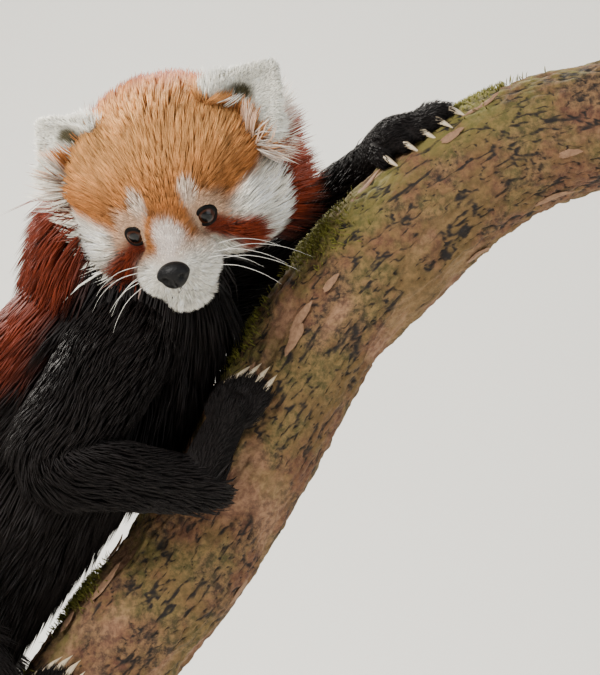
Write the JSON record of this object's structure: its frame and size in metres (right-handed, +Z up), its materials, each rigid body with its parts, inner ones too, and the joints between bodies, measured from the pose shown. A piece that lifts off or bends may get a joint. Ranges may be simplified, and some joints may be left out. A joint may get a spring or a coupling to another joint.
{
  "type": "red panda display model",
  "caption": "Life-size red panda that climbs a leaning branch and looks round over its shoulder, its ringed tail hanging free, on a plain base with one rod.",
  "frame": {"origin": "centre of the base plate's underside, which rests on the floor", "axes": "+Z up, -Y the side that the face looks to, +X the way the branch leans and the climb goes"},
  "size_m": [0.6121, 0.35, 0.8626],
  "materials": {
    "coat_face": "matt",
    "coat_pale": "matt",
    "eye_gloss": "glossy",
    "nose_leather": "satin",
    "coat_red": "matt",
    "coat_black": "matt",
    "bark": "rough",
    "stand_plate": "matt",
    "stand_steel": "brushed"
  },
  "bodies": {
    "root": {"head": "coat_face", "ear_left": "coat_pale", "ear_right": "coat_pale", "eye_left": "eye_gloss", "eye_right": "eye_gloss", "nose": "nose_leather", "neck": "coat_red", "torso_front": "coat_red", "torso_rear": "coat_red", "tail_1": "coat_red", "tail_2": "coat_red", "tail_3": "coat_red", "upper_arm_left": "coat_black", "upper_arm_right": "coat_black", "forearm_left": "coat_black", "forearm_right": "coat_black", "forepaw_left": "coat_black", "forepaw_right": "coat_black", "thigh_left": "coat_black", "thigh_right": "coat_black", "shin_left": "coat_black", "shin_right": "coat_black", "hindpaw_left": "coat_black", "hindpaw_right": "coat_black", "branch": "bark", "stand_base": "stand_plate", "stand_rod": "stand_steel"}
  },
  "joints": []
}
